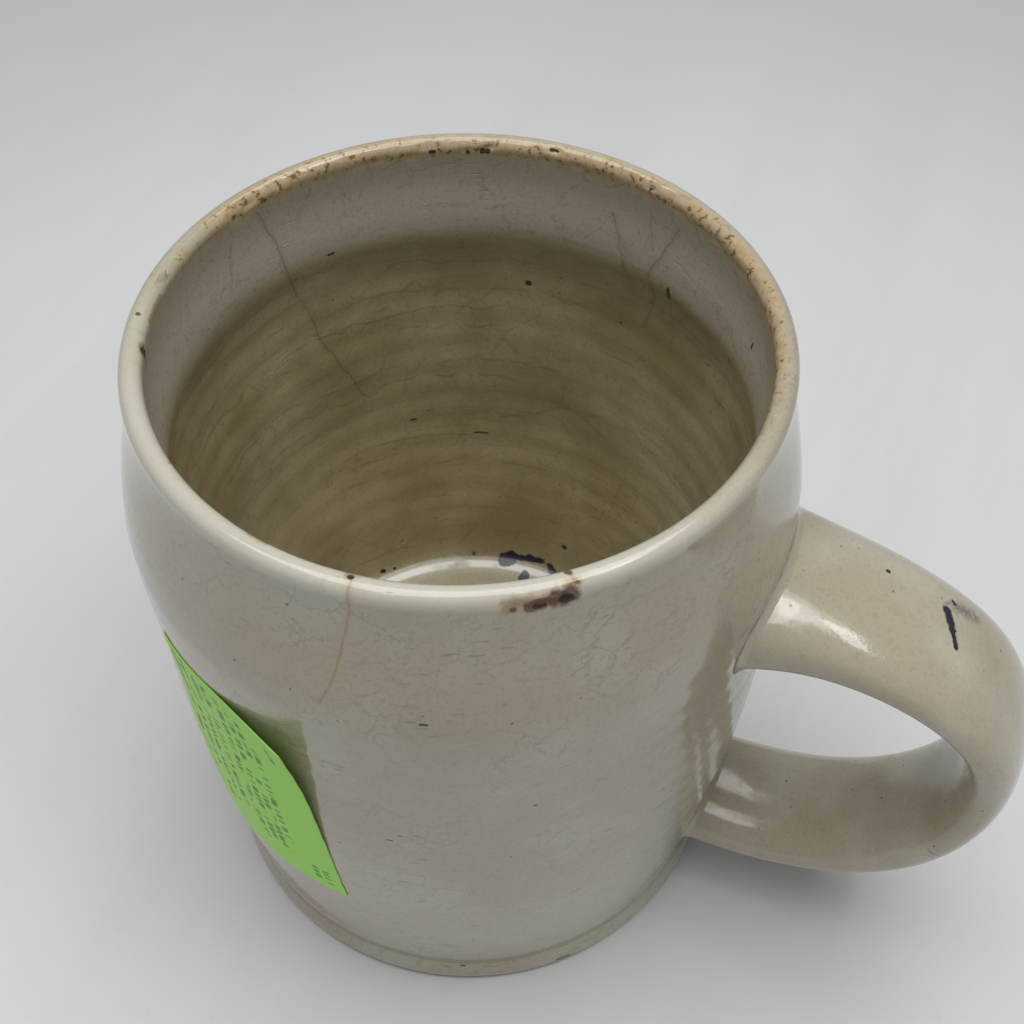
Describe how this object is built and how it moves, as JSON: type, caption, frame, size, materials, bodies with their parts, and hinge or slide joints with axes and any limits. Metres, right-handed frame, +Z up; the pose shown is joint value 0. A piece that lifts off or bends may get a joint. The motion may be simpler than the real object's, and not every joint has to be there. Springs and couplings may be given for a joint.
{
  "type": "shaving mug",
  "caption": "Straight-sided stoneware shaving mug with a bellied shoulder, a rolled lip, a strap handle and a paper price label lifting off its side.",
  "frame": {"origin": "the mug's axis in the plane its foot stands on", "axes": "+Z up along the mug's axis, +X out through the middle of the handle"},
  "size_m": [0.1288, 0.0939, 0.1042],
  "materials": {
    "body_glaze": "aged cream glaze, crazed, stained olive inside",
    "handle_glaze": "glossy warm beige glaze with fine specks",
    "slip_glaze": "glazed clay slip, dirt in its creases",
    "label_paper": "fluorescent green adhesive paper"
  },
  "bodies": {
    "root": {"mug_body": "body_glaze", "handle": "handle_glaze", "handle_upper_slip_joint": "slip_glaze", "handle_lower_slip_joint": "slip_glaze", "price_label": "label_paper"}
  },
  "joints": []
}
